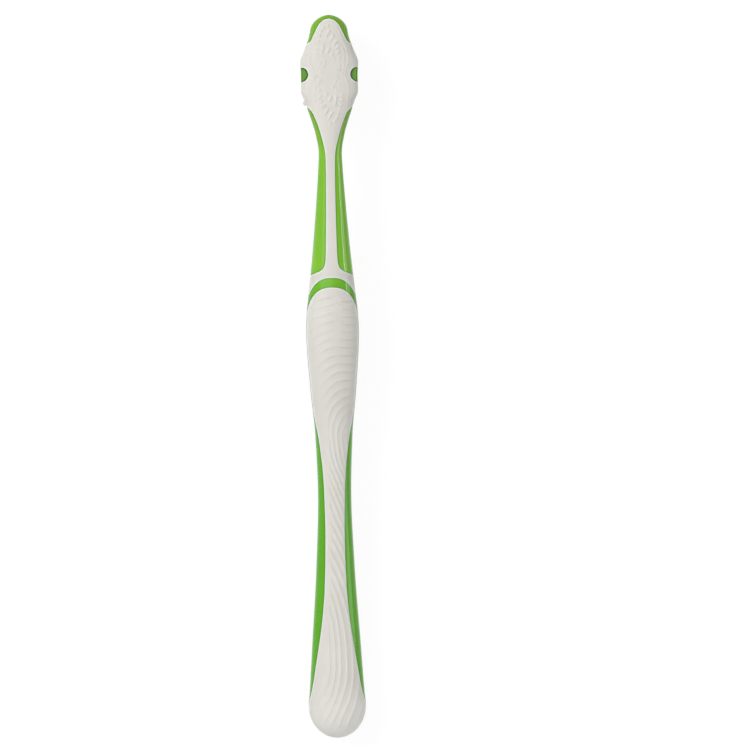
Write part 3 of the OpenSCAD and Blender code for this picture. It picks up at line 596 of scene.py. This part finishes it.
# The tongue cleaner: half of its nubs and bars (across, along, length, angle, share of the height),
# in mm from the middle of their field. The other half is the same, turned half round.
NUBS = [
    (-0.2, 12.85, 0.2, 60, 1), (-1.35, 12.3, 0.3, 70, 1), (-2.03, 11.35, 0.3, 60, 1),
    (-2.38, 10.27, 0.2, 60, 1), (-2.7, 9.04, 0.2, 60, 0.9), (-3.05, 7.94, 0.2, 0, 0.8),
    (-3.2, 6.74, 0.2, 0, 0.7), (-3.2, 5.5, 0.2, 0, 0.6), (-0.22, 10.75, 1.75, 60, 1),
    (0.85, 9.65, 1.4, 56, 0.9), (1.66, 8.3, 1.0, 50, 0.8), (2.25, 7.1, 0.8, 42, 0.8),
    (2.46, 5.9, 0.5, 45, 0.8), (-1.6, 6.97, 2.0, 81, 1.1), (-0.2, 6.3, 1.1, 61, 1),
    (0.78, 5.04, 0.4, 50, 0.8), (1.36, 3.95, 0.3, 60, 0.6), (2.68, 4.15, 0.5, 80, 0.8),
    (3.85, 4.3, 0.4, 80, 0.5), (3.75, 3.0, 0.4, 80, 0.5), (2.35, 1.15, 0.7, -32, 0.8),
    (2.8, 2.2, 0.4, 60, 0.7), (-1.7, 4.17, 0.4, 80, 0.4), (-1.0, 3.33, 0.4, 70, 0.6),
    (-1.53, 1.95, 0.5, 70, 0.6), (-2.45, 2.75, 0.4, 80, 0.5), (-2.05, 0.76, 0.5, -40, 0.6),
    (-3.55, -0.3, 0.4, 85, 0.5), (-3.85, -2.1, 0.4, 85, 0.5), (-3.9, -3.6, 0.4, 85, 0.4),
    (-4.0, -5.5, 0.3, 90, 0.4), (-3.8, -6.45, 0.4, -60, 0.6), (-4.85, -6.6, 0.3, 90, 0.4)]
NUBS += [(-x, -y, length, angle, height) for x, y, length, angle, height in NUBS]
NUB_RISE, NUB_RADIUS = 0.185, 0.54
NUB_MIDDLE_S = window_s - 0.1
# No nub reaches farther along the head than this
LONGEST_REACH = 2.2
# The fine line round the field of nubs: places (s, x), and its height and width
LINE_ROWS = [
    (166.5, 4.4), (168, 4.8), (169, 5.0), (170, 5.05), (171, 5.0), (172.1, 4.75), (173.2, 4.4),
    (174, 4.15), (175, 4.15), (176, 4.3), (177.1, 4.8), (178, 5.0), (178.9, 5.0), (180, 4.83),
    (181.3, 4.56), (182.1, 4.27), (183, 3.9), (184.6, 3.2), (185.9, 2.65), (186.8, 2.15),
    (187.4, 1.6)]
LINE_RISE, LINE_REACH = 0.1, 0.2


def nub_height(s, x):
    height = np.zeros_like(x)
    along = s - NUB_MIDDLE_S
    for nub_x, nub_y, length, angle, share in NUBS:
        if abs(nub_y - along) > LONGEST_REACH:
            continue
        cos, sin = math.cos(math.radians(angle)), math.sin(math.radians(angle))
        dx, dy = x - nub_x, along - nub_y
        run = np.clip(dx * cos + dy * sin, -length / 2, length / 2)
        away = np.hypot(dx - run * cos, dy - run * sin)
        height = np.maximum(height, NUB_RISE * share * smooth(1 - away / NUB_RADIUS))
    return height


def line_height(s, x, step=0.1):
    line = curve(LINE_ROWS, s)
    slope = (curve(LINE_ROWS, s + step) - line) / step
    ends = np.clip(min(s - LINE_ROWS[0][0], LINE_ROWS[-1][0] - s), 0, 1)
    return LINE_RISE * ends * hump((np.abs(x) - line) / math.hypot(1, slope), LINE_REACH)


def cover_rings():
    fine_s = heel_s - FINE_NECK_L
    spots = [p for p in stations(0.4, "belt", "spine") if p[1] < fine_s]
    spots += [p for p in stations(0.14, "spine", "hood", "toe") if fine_s <= p[1] <= toe_end_s]
    rings = []
    for zone, s in spots:
        chain = rear_chain(zone, s)
        edge = chain[-1][0]
        x = edge_spread(edge, COVER_COLUMNS)
        z = Section(s).back(x) + nub_height(s, x) + line_height(s, x)
        if not wraps(zone):
            z = z + lip(edge - np.abs(x)) * min(1, edge / LIP)
        # Painted highlight along the rubber's rims and round the edges of the windows
        from_window = np.hypot(window_x - np.abs(x), s - window_s) - window_r
        rings.append(rubber_ring(chain, x, z, s, np.maximum(near_border(s, x, PAINTED_RIM_HIGHLIGHT_REACH),
                                                            hump(from_window, PAINTED_RIM_HIGHLIGHT_REACH))))
    return rings


def cut_windows(obj):
    for side in (-1, 1):
        bpy.ops.mesh.primitive_cylinder_add(
            vertices=96, radius=window_r * MM, depth=(head_t + 1) * MM,
            location=(side * window_x * MM, window_y * MM, (tuft_l + (head_t + 1) / 2) * MM))
        tool = bpy.context.object
        modifier = obj.modifiers.new("cut", "BOOLEAN")
        modifier.operation = "DIFFERENCE"
        modifier.object = tool
        modifier.solver = "EXACT"
        bpy.context.view_layer.objects.active = obj
        bpy.ops.object.modifier_apply(modifier=modifier.name)
        mesh = tool.data
        bpy.data.objects.remove(tool)
        bpy.data.meshes.remove(mesh)


# Fingers of rubber that hang down beside the tufts: place along the head, how far out the tips
# reach at the left and at the right, as shares of the half width, and how wide each is
FINS = [(0.06, 0.955, 0.86, 1.4), (0.165, 0.94, 0.94, 1), (0.49, 0.985, 0.985, 1),
        (0.585, 0.9, 0.9, 1)]
FIN_POINTS = 20


def build_fins():
    verts, faces = [], []
    ledge_z, tip_z = mix(tuft_l, tuft_l + head_t, head_middle_share), tuft_l - fin_l
    # Heights down a fin, and the share of its thickness at each
    levels = [(ledge_z + 0.4, 0.96), (ledge_z, 1.0), (mix(ledge_z, tip_z, 0.35), 0.9),
              (mix(ledge_z, tip_z, 0.7), 0.76), (tip_z + 0.45, 0.64), (tip_z + 0.18, 0.54),
              (tip_z + 0.05, 0.36), (tip_z, 0.12)]
    for share, left, right, width in FINS:
        s = heel_s + share * head_l
        lean = math.atan((half_w(s + fin_w / 2) - half_w(s - fin_w / 2)) / fin_w)
        cos, sin = math.cos(lean), math.sin(lean)
        for side, reach in ((-1, left), (1, right)):
            root, tip = half_w(s) - fin_t / 2, reach * head_w / 2 - fin_t / 2
            rings = []
            for z, scale in levels:
                x = mix(root, tip, rise(ledge_z - z, 0, ledge_z - tip_z))
                round_x, round_y = fin_t / 2 * scale, width * fin_w / 2 * scale
                spots = [(round_x * math.cos(a), round_y * math.sin(a))
                         for a in np.arange(FIN_POINTS) * 2 * math.pi / FIN_POINTS]
                rings.append([(side * (x + dx * cos + dy * sin),
                               y_of(s) - dx * sin + dy * cos, z, 0) for dx, dy in spots])
            add_skin(verts, faces, rings)
    return mesh_object("head_fins", verts, faces, sharp=60)


# The front grip
FRONT_GRIP_STEPS = np.concatenate([np.linspace(0, 0.8, 12), [0.86, 0.91, 0.95, 0.98, 1.0]])
LEG_STEPS = np.array([0.1, 0.25, 0.5, 0.8, 1.0])


def front_grip_half(zone, s):
    """The right half of the front grip's ring, from its outer face round to its inner one."""
    c = Section(s)
    pad = zone == "pad_front"
    side = core_side(zone, s)
    edge = front_half(s) if pad else side
    x = FRONT_GRIP_STEPS * (edge if pad else c.w)
    z = c.front(x)
    if pad:
        z = z - lip(edge - x) * min(1, edge / LIP)
    points = list(zip(x, z))
    turn = len(LEG_STEPS) + 2
    if pad:
        points += [(edge, c.front(edge) + SINK)] * turn
    elif zone == "leg":
        top = min(collar_half(s), side)
        points += [(a, c.back(a)) for a in mix(c.w, top, LEG_STEPS)]
        points += [(a, c.back(a, rubber_t)) for a in (top, side)]
    else:
        points += [(c.w, c.mid)] * (turn - 1) + [(side, c.mid)]
    points += [(a * edge, c.front(a * edge, rubber_t)) for a in FLOOR_SHARES[::-1]]
    x, z = np.array(points, float).T
    # Painted highlight along the rubber's rims on the back
    return list(zip(x, z, np.where(z >= c.mid, near_border(s, x, PAINTED_RIM_HIGHLIGHT_REACH), 0)))


def front_grip_rings():
    return [ring(front_grip_half(z, s), s) for z, s in stations(0.3, "pad_front", "leg", "belt")]


# Tufts of round filaments
ROW_COUNTS = [4, 5, 5, 5, 5, 5, 4, 4, 3, 2]
FILAMENT_R, FILAMENT_GAP, FILAMENT_POINTS = 0.1, 0.215, 6
ROOT_FIT, ROOT_DEPTH = 0.02, 0.6
# A filament's rounded tip: how far up it each level is, and the share of its thickness there. Its
# middle: at what share of the tuft's length, and how much of the lean it has there.
TIP_LEVELS = [(0, 0.3), (0.03, 0.75), (0.12, 1)]
MIDDLE_SHARE, MIDDLE_LEAN = 0.55, 0.5
# How much a tuft spreads towards its tip, and how uneven its filaments are, across and in length
SPREAD, UNEVEN_LEAN, UNEVEN_TIP, SHORTEST = 0.1, 0.03, 0.02, 0.01


def row_y(row):
    pitch = (head_l - heel_margin - toe_margin) / (len(ROW_COUNTS) - 1)
    return y_of(heel_s + heel_margin + row * pitch)


def filament_spots(radius, gap):
    """Places round a tuft's middle, in rings a gap apart."""
    spots = [(0.0, 0.0)]
    for k in range(1, int(radius / gap) + 1):
        count = int(round(2 * math.pi * k))
        angles = [2 * math.pi * i / count + k for i in range(count)]
        spots += [(k * gap * math.cos(a), k * gap * math.sin(a)) for a in angles]
    return spots


def build_tufts(row, rng):
    verts, faces = [], []
    count = ROW_COUNTS[row]
    circle = [(FILAMENT_R * math.cos(a), FILAMENT_R * math.sin(a))
              for a in np.arange(FILAMENT_POINTS) * 2 * math.pi / FILAMENT_POINTS]
    for i in range(count):
        tuft_x, tuft_y = (i - (count - 1) / 2) * column_pitch, row_y(row)
        short = 0 < row < len(ROW_COUNTS) - 2 and abs(tuft_x) < short_share * head_w
        for dx, dy in filament_spots(hole_d / 2 - FILAMENT_R - ROOT_FIT, FILAMENT_GAP):
            lean_x = dx * SPREAD + rng.normal(0, UNEVEN_LEAN)
            lean_y = dy * SPREAD + rng.normal(0, UNEVEN_LEAN)
            tip = (middle_drop if short else 0) + abs(rng.normal(0, UNEVEN_TIP)) + SHORTEST
            x, y = tuft_x + dx, tuft_y + dy
            levels = [(tip + up, scale, 1) for up, scale in TIP_LEVELS]
            levels += [(MIDDLE_SHARE * tuft_l, 1, MIDDLE_LEAN), (tuft_l + ROOT_DEPTH, 1, 0)]
            rings = [[(x + lean * lean_x + scale * a, y + lean * lean_y + scale * b, z)
                      for a, b in circle] for z, scale, lean in levels]
            add_skin(verts, faces, rings)
    mesh = bpy.data.meshes.new("bristles_%d" % (row + 1))
    mesh.from_pydata([(x * MM, y * MM, z * MM) for x, y, z in verts], [], faces)
    mesh.polygons.foreach_set("use_smooth", [True] * len(mesh.polygons))
    mesh.update()
    return link_new(mesh.name, mesh)


# Materials
class Graph:
    """The nodes of a material or of the world."""

    def __init__(self, owner):
        owner.use_nodes = True
        self.nodes, self.links = owner.node_tree.nodes, owner.node_tree.links

    def fill(self, node, inputs):
        """Sets a node's inputs, each to a value or to what another node puts out."""
        for key, value in inputs.items():
            if isinstance(value, bpy.types.NodeSocket):
                self.links.new(value, node.inputs[key])
            else:
                node.inputs[key].default_value = value

    def add(self, kind, inputs, **settings):
        node = self.nodes.new("ShaderNode" + kind)
        for name, value in settings.items():
            setattr(node, name, value)
        self.fill(node, inputs)
        return node

    def math(self, operation, a, b):
        return self.add("Math", {0: a, 1: b}, operation=operation).outputs[0]

    def ramp(self, value, low, high, a, b):
        """a where the value is low, b where it is high, and straight between them."""
        return self.add("MapRange", {"Value": value, "From Min": low, "From Max": high,
                                     "To Min": a, "To Max": b}).outputs["Result"]

    def mix(self, share, a, b):
        """A colour between two, each a colour or what another node puts out."""
        a, b = [(*c, 1) if isinstance(c, tuple) else c for c in (a, b)]
        mixer = self.add("Mix", {"Factor": share, "A": a, "B": b}, data_type="RGBA")
        return mixer.outputs["Result"]

    def place(self):
        return self.add("TexCoord", {}).outputs["Object"]

    def noise(self, scale, detail):
        return self.add("TexNoise", {"Scale": scale, "Detail": detail, "Roughness": 0.5,
                                     "Vector": self.place()}).outputs["Fac"]

    def cloud(self, scale, detail, a=0, b=1, low=0.3):
        """Noise that is stretched to lie between two values."""
        return self.ramp(self.noise(scale, detail), low, 1 - low, a, b)

    def bump(self, scale, detail, strength, distance):
        return self.add("Bump", {"Height": self.noise(scale, detail), "Strength": strength,
                                 "Distance": distance}).outputs["Normal"]

    # The share of painted shading that the meshes carry: painted shade on the green, a painted
    # highlight on the rubber
    def painted_shading(self):
        return self.add("Attribute", {}, attribute_name="painted_shading").outputs["Fac"]

    def seen_rays(self):
        """1 for the rays that show the background: the camera's, reflected and let through."""
        path = self.add("LightPath", {}).outputs
        seen = self.math("MAXIMUM", path["Is Camera Ray"], path["Is Glossy Ray"])
        return self.math("MAXIMUM", seen, path["Is Transmission Ray"])


def new_material(name):
    material = bpy.data.materials.new(name)
    graph = Graph(material)
    return material, graph, graph.nodes["Principled BSDF"]


# Where one green turns into the next: from one place to another along the brush, from one distance
# to another from a window's middle, and from one height to another over the tufts' face. The last
# two bound the painted shade in the windows.
NECK_TURN, HEAD_TURN, DISC_TURN, LOBE_TURN = (115, 124), (152, 161), (1.95, 2.1), (0.7, 1)


def green_plastic():
    """Clear bright green, paler in the thin neck, yellower in the head, with painted shade in the
    windows and along its edges.
    """
    material, graph, shader = new_material("green_plastic")
    place = graph.place()
    axes = graph.add("SeparateXYZ", {0: place}).outputs
    cloud = graph.cloud(60, 3)
    handle = graph.mix(cloud, (0.095, 0.385, 0.008), (0.112, 0.415, 0.010))
    neck = graph.mix(cloud, (0.19, 0.485, 0.022), (0.21, 0.515, 0.028))
    head = graph.mix(cloud, (0.18, 0.41, 0.016), (0.2, 0.44, 0.022))
    # Painted shade: a darker green for the discs in the recessed windows
    window = graph.mix(cloud, (0.1, 0.265, 0.004), (0.112, 0.285, 0.005))
    # Painted shade: the dark green mixed in along the borders with the rubber, at the outer sides
    # and on the window discs' walls
    edge = graph.mix(cloud, (0.05, 0.20, 0.008), (0.06, 0.22, 0.010))
    in_neck, in_head = [graph.ramp(axes["Y"], *[y_of(s) * MM for s in turn], 0, 1)
                        for turn in (NECK_TURN, HEAD_TURN)]
    flat = graph.add("VectorMath", {0: place, 1: (1, 1, 0)}, operation="MULTIPLY").outputs["Vector"]
    away = [graph.add("VectorMath", {0: flat, 1: (side * window_x * MM, window_y * MM, 0)},
                      operation="DISTANCE").outputs["Value"] for side in (-1, 1)]
    in_disc = graph.ramp(graph.math("MINIMUM", *away), *[r * MM for r in DISC_TURN], 1, 0)
    in_lobe = graph.ramp(axes["Z"], *[(tuft_l + up) * MM for up in LOBE_TURN], 0, 1)
    plain = graph.mix(in_head, graph.mix(in_neck, handle, neck), head)
    plain = graph.mix(graph.math("MULTIPLY", in_disc, in_lobe), plain, window)
    graph.fill(shader, {
        "Base Color": graph.mix(graph.painted_shading(), plain, edge),
        "Roughness": graph.cloud(900, 4, 0.1, 0.2),
        "Normal": graph.bump(420, 2, 0.05, 0.0002),
        "IOR": 1.45, "Specular IOR Level": 0.24,
        "Subsurface Weight": 0.12, "Subsurface Radius": (0.6, 1.0, 0.15),
        "Subsurface Scale": 0.0015})
    return material


def white_rubber():
    """Warm white rubber, with a painted highlight along its thin rims and at the butt."""
    material, graph, shader = new_material("white_rubber")
    cloud = graph.cloud(90, 4)
    plain = graph.mix(cloud, (0.67, 0.65, 0.60), (0.705, 0.685, 0.64))
    # Painted highlight: the brighter white mixed in along the rims and at the butt
    rim = graph.mix(cloud, (0.84, 0.85, 0.82), (0.86, 0.87, 0.84))
    graph.fill(shader, {
        "Base Color": graph.mix(graph.painted_shading(), plain, rim),
        "Roughness": graph.cloud(1500, 3, 0.42, 0.56),
        "Normal": graph.bump(4200, 3, 0.12, 0.00008),
        "IOR": 1.45, "Specular IOR Level": 0.3,
        "Subsurface Weight": 0.15, "Subsurface Radius": (1.0, 0.9, 0.75),
        "Subsurface Scale": 0.001})
    return material


def nylon():
    material, graph, shader = new_material("nylon_filament")
    graph.fill(shader, {
        "Base Color": graph.mix(graph.cloud(700, 2), (0.78, 0.79, 0.79), (0.86, 0.87, 0.87)),
        "Roughness": graph.cloud(3000, 2, 0.22, 0.34), "IOR": 1.53,
        "Subsurface Weight": 0.3, "Subsurface Radius": (1.0, 1.0, 1.0),
        "Subsurface Scale": 0.0006})
    return material


def brass():
    material, graph, shader = new_material("anchor_brass")
    cloud = graph.cloud(1200, 3, low=0.35)
    graph.fill(shader, {
        "Base Color": graph.mix(cloud, (0.62, 0.43, 0.16), (0.72, 0.54, 0.24)),
        "Roughness": graph.cloud(2500, 2, 0.25, 0.4), "Metallic": 1.0})
    return material


GREEN, WHITE, NYLON, BRASS = green_plastic(), white_rubber(), nylon(), brass()


def dress(obj, material, slot_name, *nodes):
    obj.data.materials.clear()
    obj.data.materials.append(material)
    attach(obj, "root")
    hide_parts(*nodes)


dress(build_core(), GREEN, "hard_plastic", "handle_core")
dress(skin_object("rear_rubber", rear_grip_rings()), WHITE, "soft_rubber", "rear_grip")
dress(skin_object("front_rubber", front_grip_rings()), WHITE, "soft_rubber", "front_grip")
cover = skin_object("head_rubber", cover_rings())
cut_windows(cover)
dress(cover, WHITE, "soft_rubber", "head_cover")
dress(build_fins(), WHITE, "soft_rubber", "head_cover")

rng = np.random.default_rng(7)
for row in range(len(ROW_COUNTS)):
    dress(build_tufts(row, rng), NYLON, "bristle", "tuft_row_%d" % (row + 1))

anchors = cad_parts["tuft_anchors"]
anchors.data.materials.clear()
anchors.data.materials.append(BRASS)

# The floor, which glows white where it is seen and still keeps the shadow of the brush
FLOOR_GLOW_SHARE = 0.86
bpy.ops.mesh.primitive_plane_add(size=20, location=(0, 0, 0))
floor = bpy.context.object
floor.name = "floor"
material, graph, shader = new_material("white_floor")
graph.fill(shader, {"Base Color": (0.72, 0.72, 0.72, 1), "Roughness": 0.9})
glow = graph.add("Emission", {"Color": (1, 1, 1, 1), "Strength": 1.07})
share = graph.ramp(graph.seen_rays(), 0, 1, 0, FLOOR_GLOW_SHARE)
mixer = graph.add("MixShader", {0: share, 1: shader.outputs[0], 2: glow.outputs[0]})
graph.fill(graph.nodes["Material Output"], {"Surface": mixer.outputs[0]})
floor.data.materials.append(material)

# The world, which is white where it is seen and lights the brush with less
WORLD_LIGHT = 0.4
world = bpy.data.worlds.new("studio")
bpy.context.scene.world = world
graph = Graph(world)
graph.fill(graph.nodes["Background"], {
    "Color": (1, 1, 1, 1), "Strength": graph.ramp(graph.seen_rays(), 0, 1, WORLD_LIGHT, 1)})

# Soft studio lights: name, place, size, power, and whether it lights surfaces or is only mirrored
# in them. The foot light is small and near, to graze the ribs.
for name, place, size, power, lights in (
        ("key", (-0.57, 0.36, 0.7), (0.5, 0.4), 6.0, True),
        ("fill", (0.6, -0.2, 0.7), (0.6, 0.4), 1.6, True),
        ("foot", (0.02, -0.2, 0.08), (0.06, 0.04), 0.026, True),
        ("panel", (-0.42, 0.0, 0.95), (1.2, 1.0), 10.0, False),
        ("side_panel", (0.92, -0.1, 0.2), (0.7, 0.5), 4.4, False),
        ("strip", (0.84, 0.19, 0.38), (0.26, 0.02), 1.0, False)):
    light = bpy.data.lights.new(name, "AREA")
    light.shape = "RECTANGLE"
    light.size, light.size_y = size
    light.energy = power
    lamp = link_new(name, light)
    lamp.location = place
    lamp.rotation_euler = (-Vector(place)).to_track_quat("-Z", "Y").to_euler()
    lamp.visible_diffuse, lamp.visible_glossy = lights, not lights

# The camera looks straight down at the back of the brush. In the photograph, of 750 pixels each
# way, the brush is 722 pixels long and leans by 9 of them, and its middle is 333.1 pixels from the
# left and 374 from the bottom.
CAMERA_HEIGHT, BACK_HEIGHT = 1.6, 0.01
SENSOR, PIXELS, PIXELS_A_MM = 36, 750, 3.8
BRUSH_LEAN = math.atan(9 / 722)
BRUSH_MIDDLE = (333.1, 374)
camera_data = bpy.data.cameras.new("camera")
camera = link_new("camera", camera_data)
bpy.context.scene.camera = camera
camera_data.sensor_width = SENSOR
camera_data.lens = SENSOR * (CAMERA_HEIGHT - BACK_HEIGHT) / (PIXELS / PIXELS_A_MM * MM)
camera_data.clip_start, camera_data.clip_end = 0.05, 10
off_x, off_y = [(PIXELS / 2 - middle) / PIXELS_A_MM * MM for middle in BRUSH_MIDDLE]
cos, sin = math.cos(BRUSH_LEAN), math.sin(BRUSH_LEAN)
camera.location = (off_x * cos - off_y * sin, off_x * sin + off_y * cos, CAMERA_HEIGHT)
camera.rotation_euler = (0, 0, -BRUSH_LEAN)

bpy.context.scene.view_settings.view_transform = "Standard"
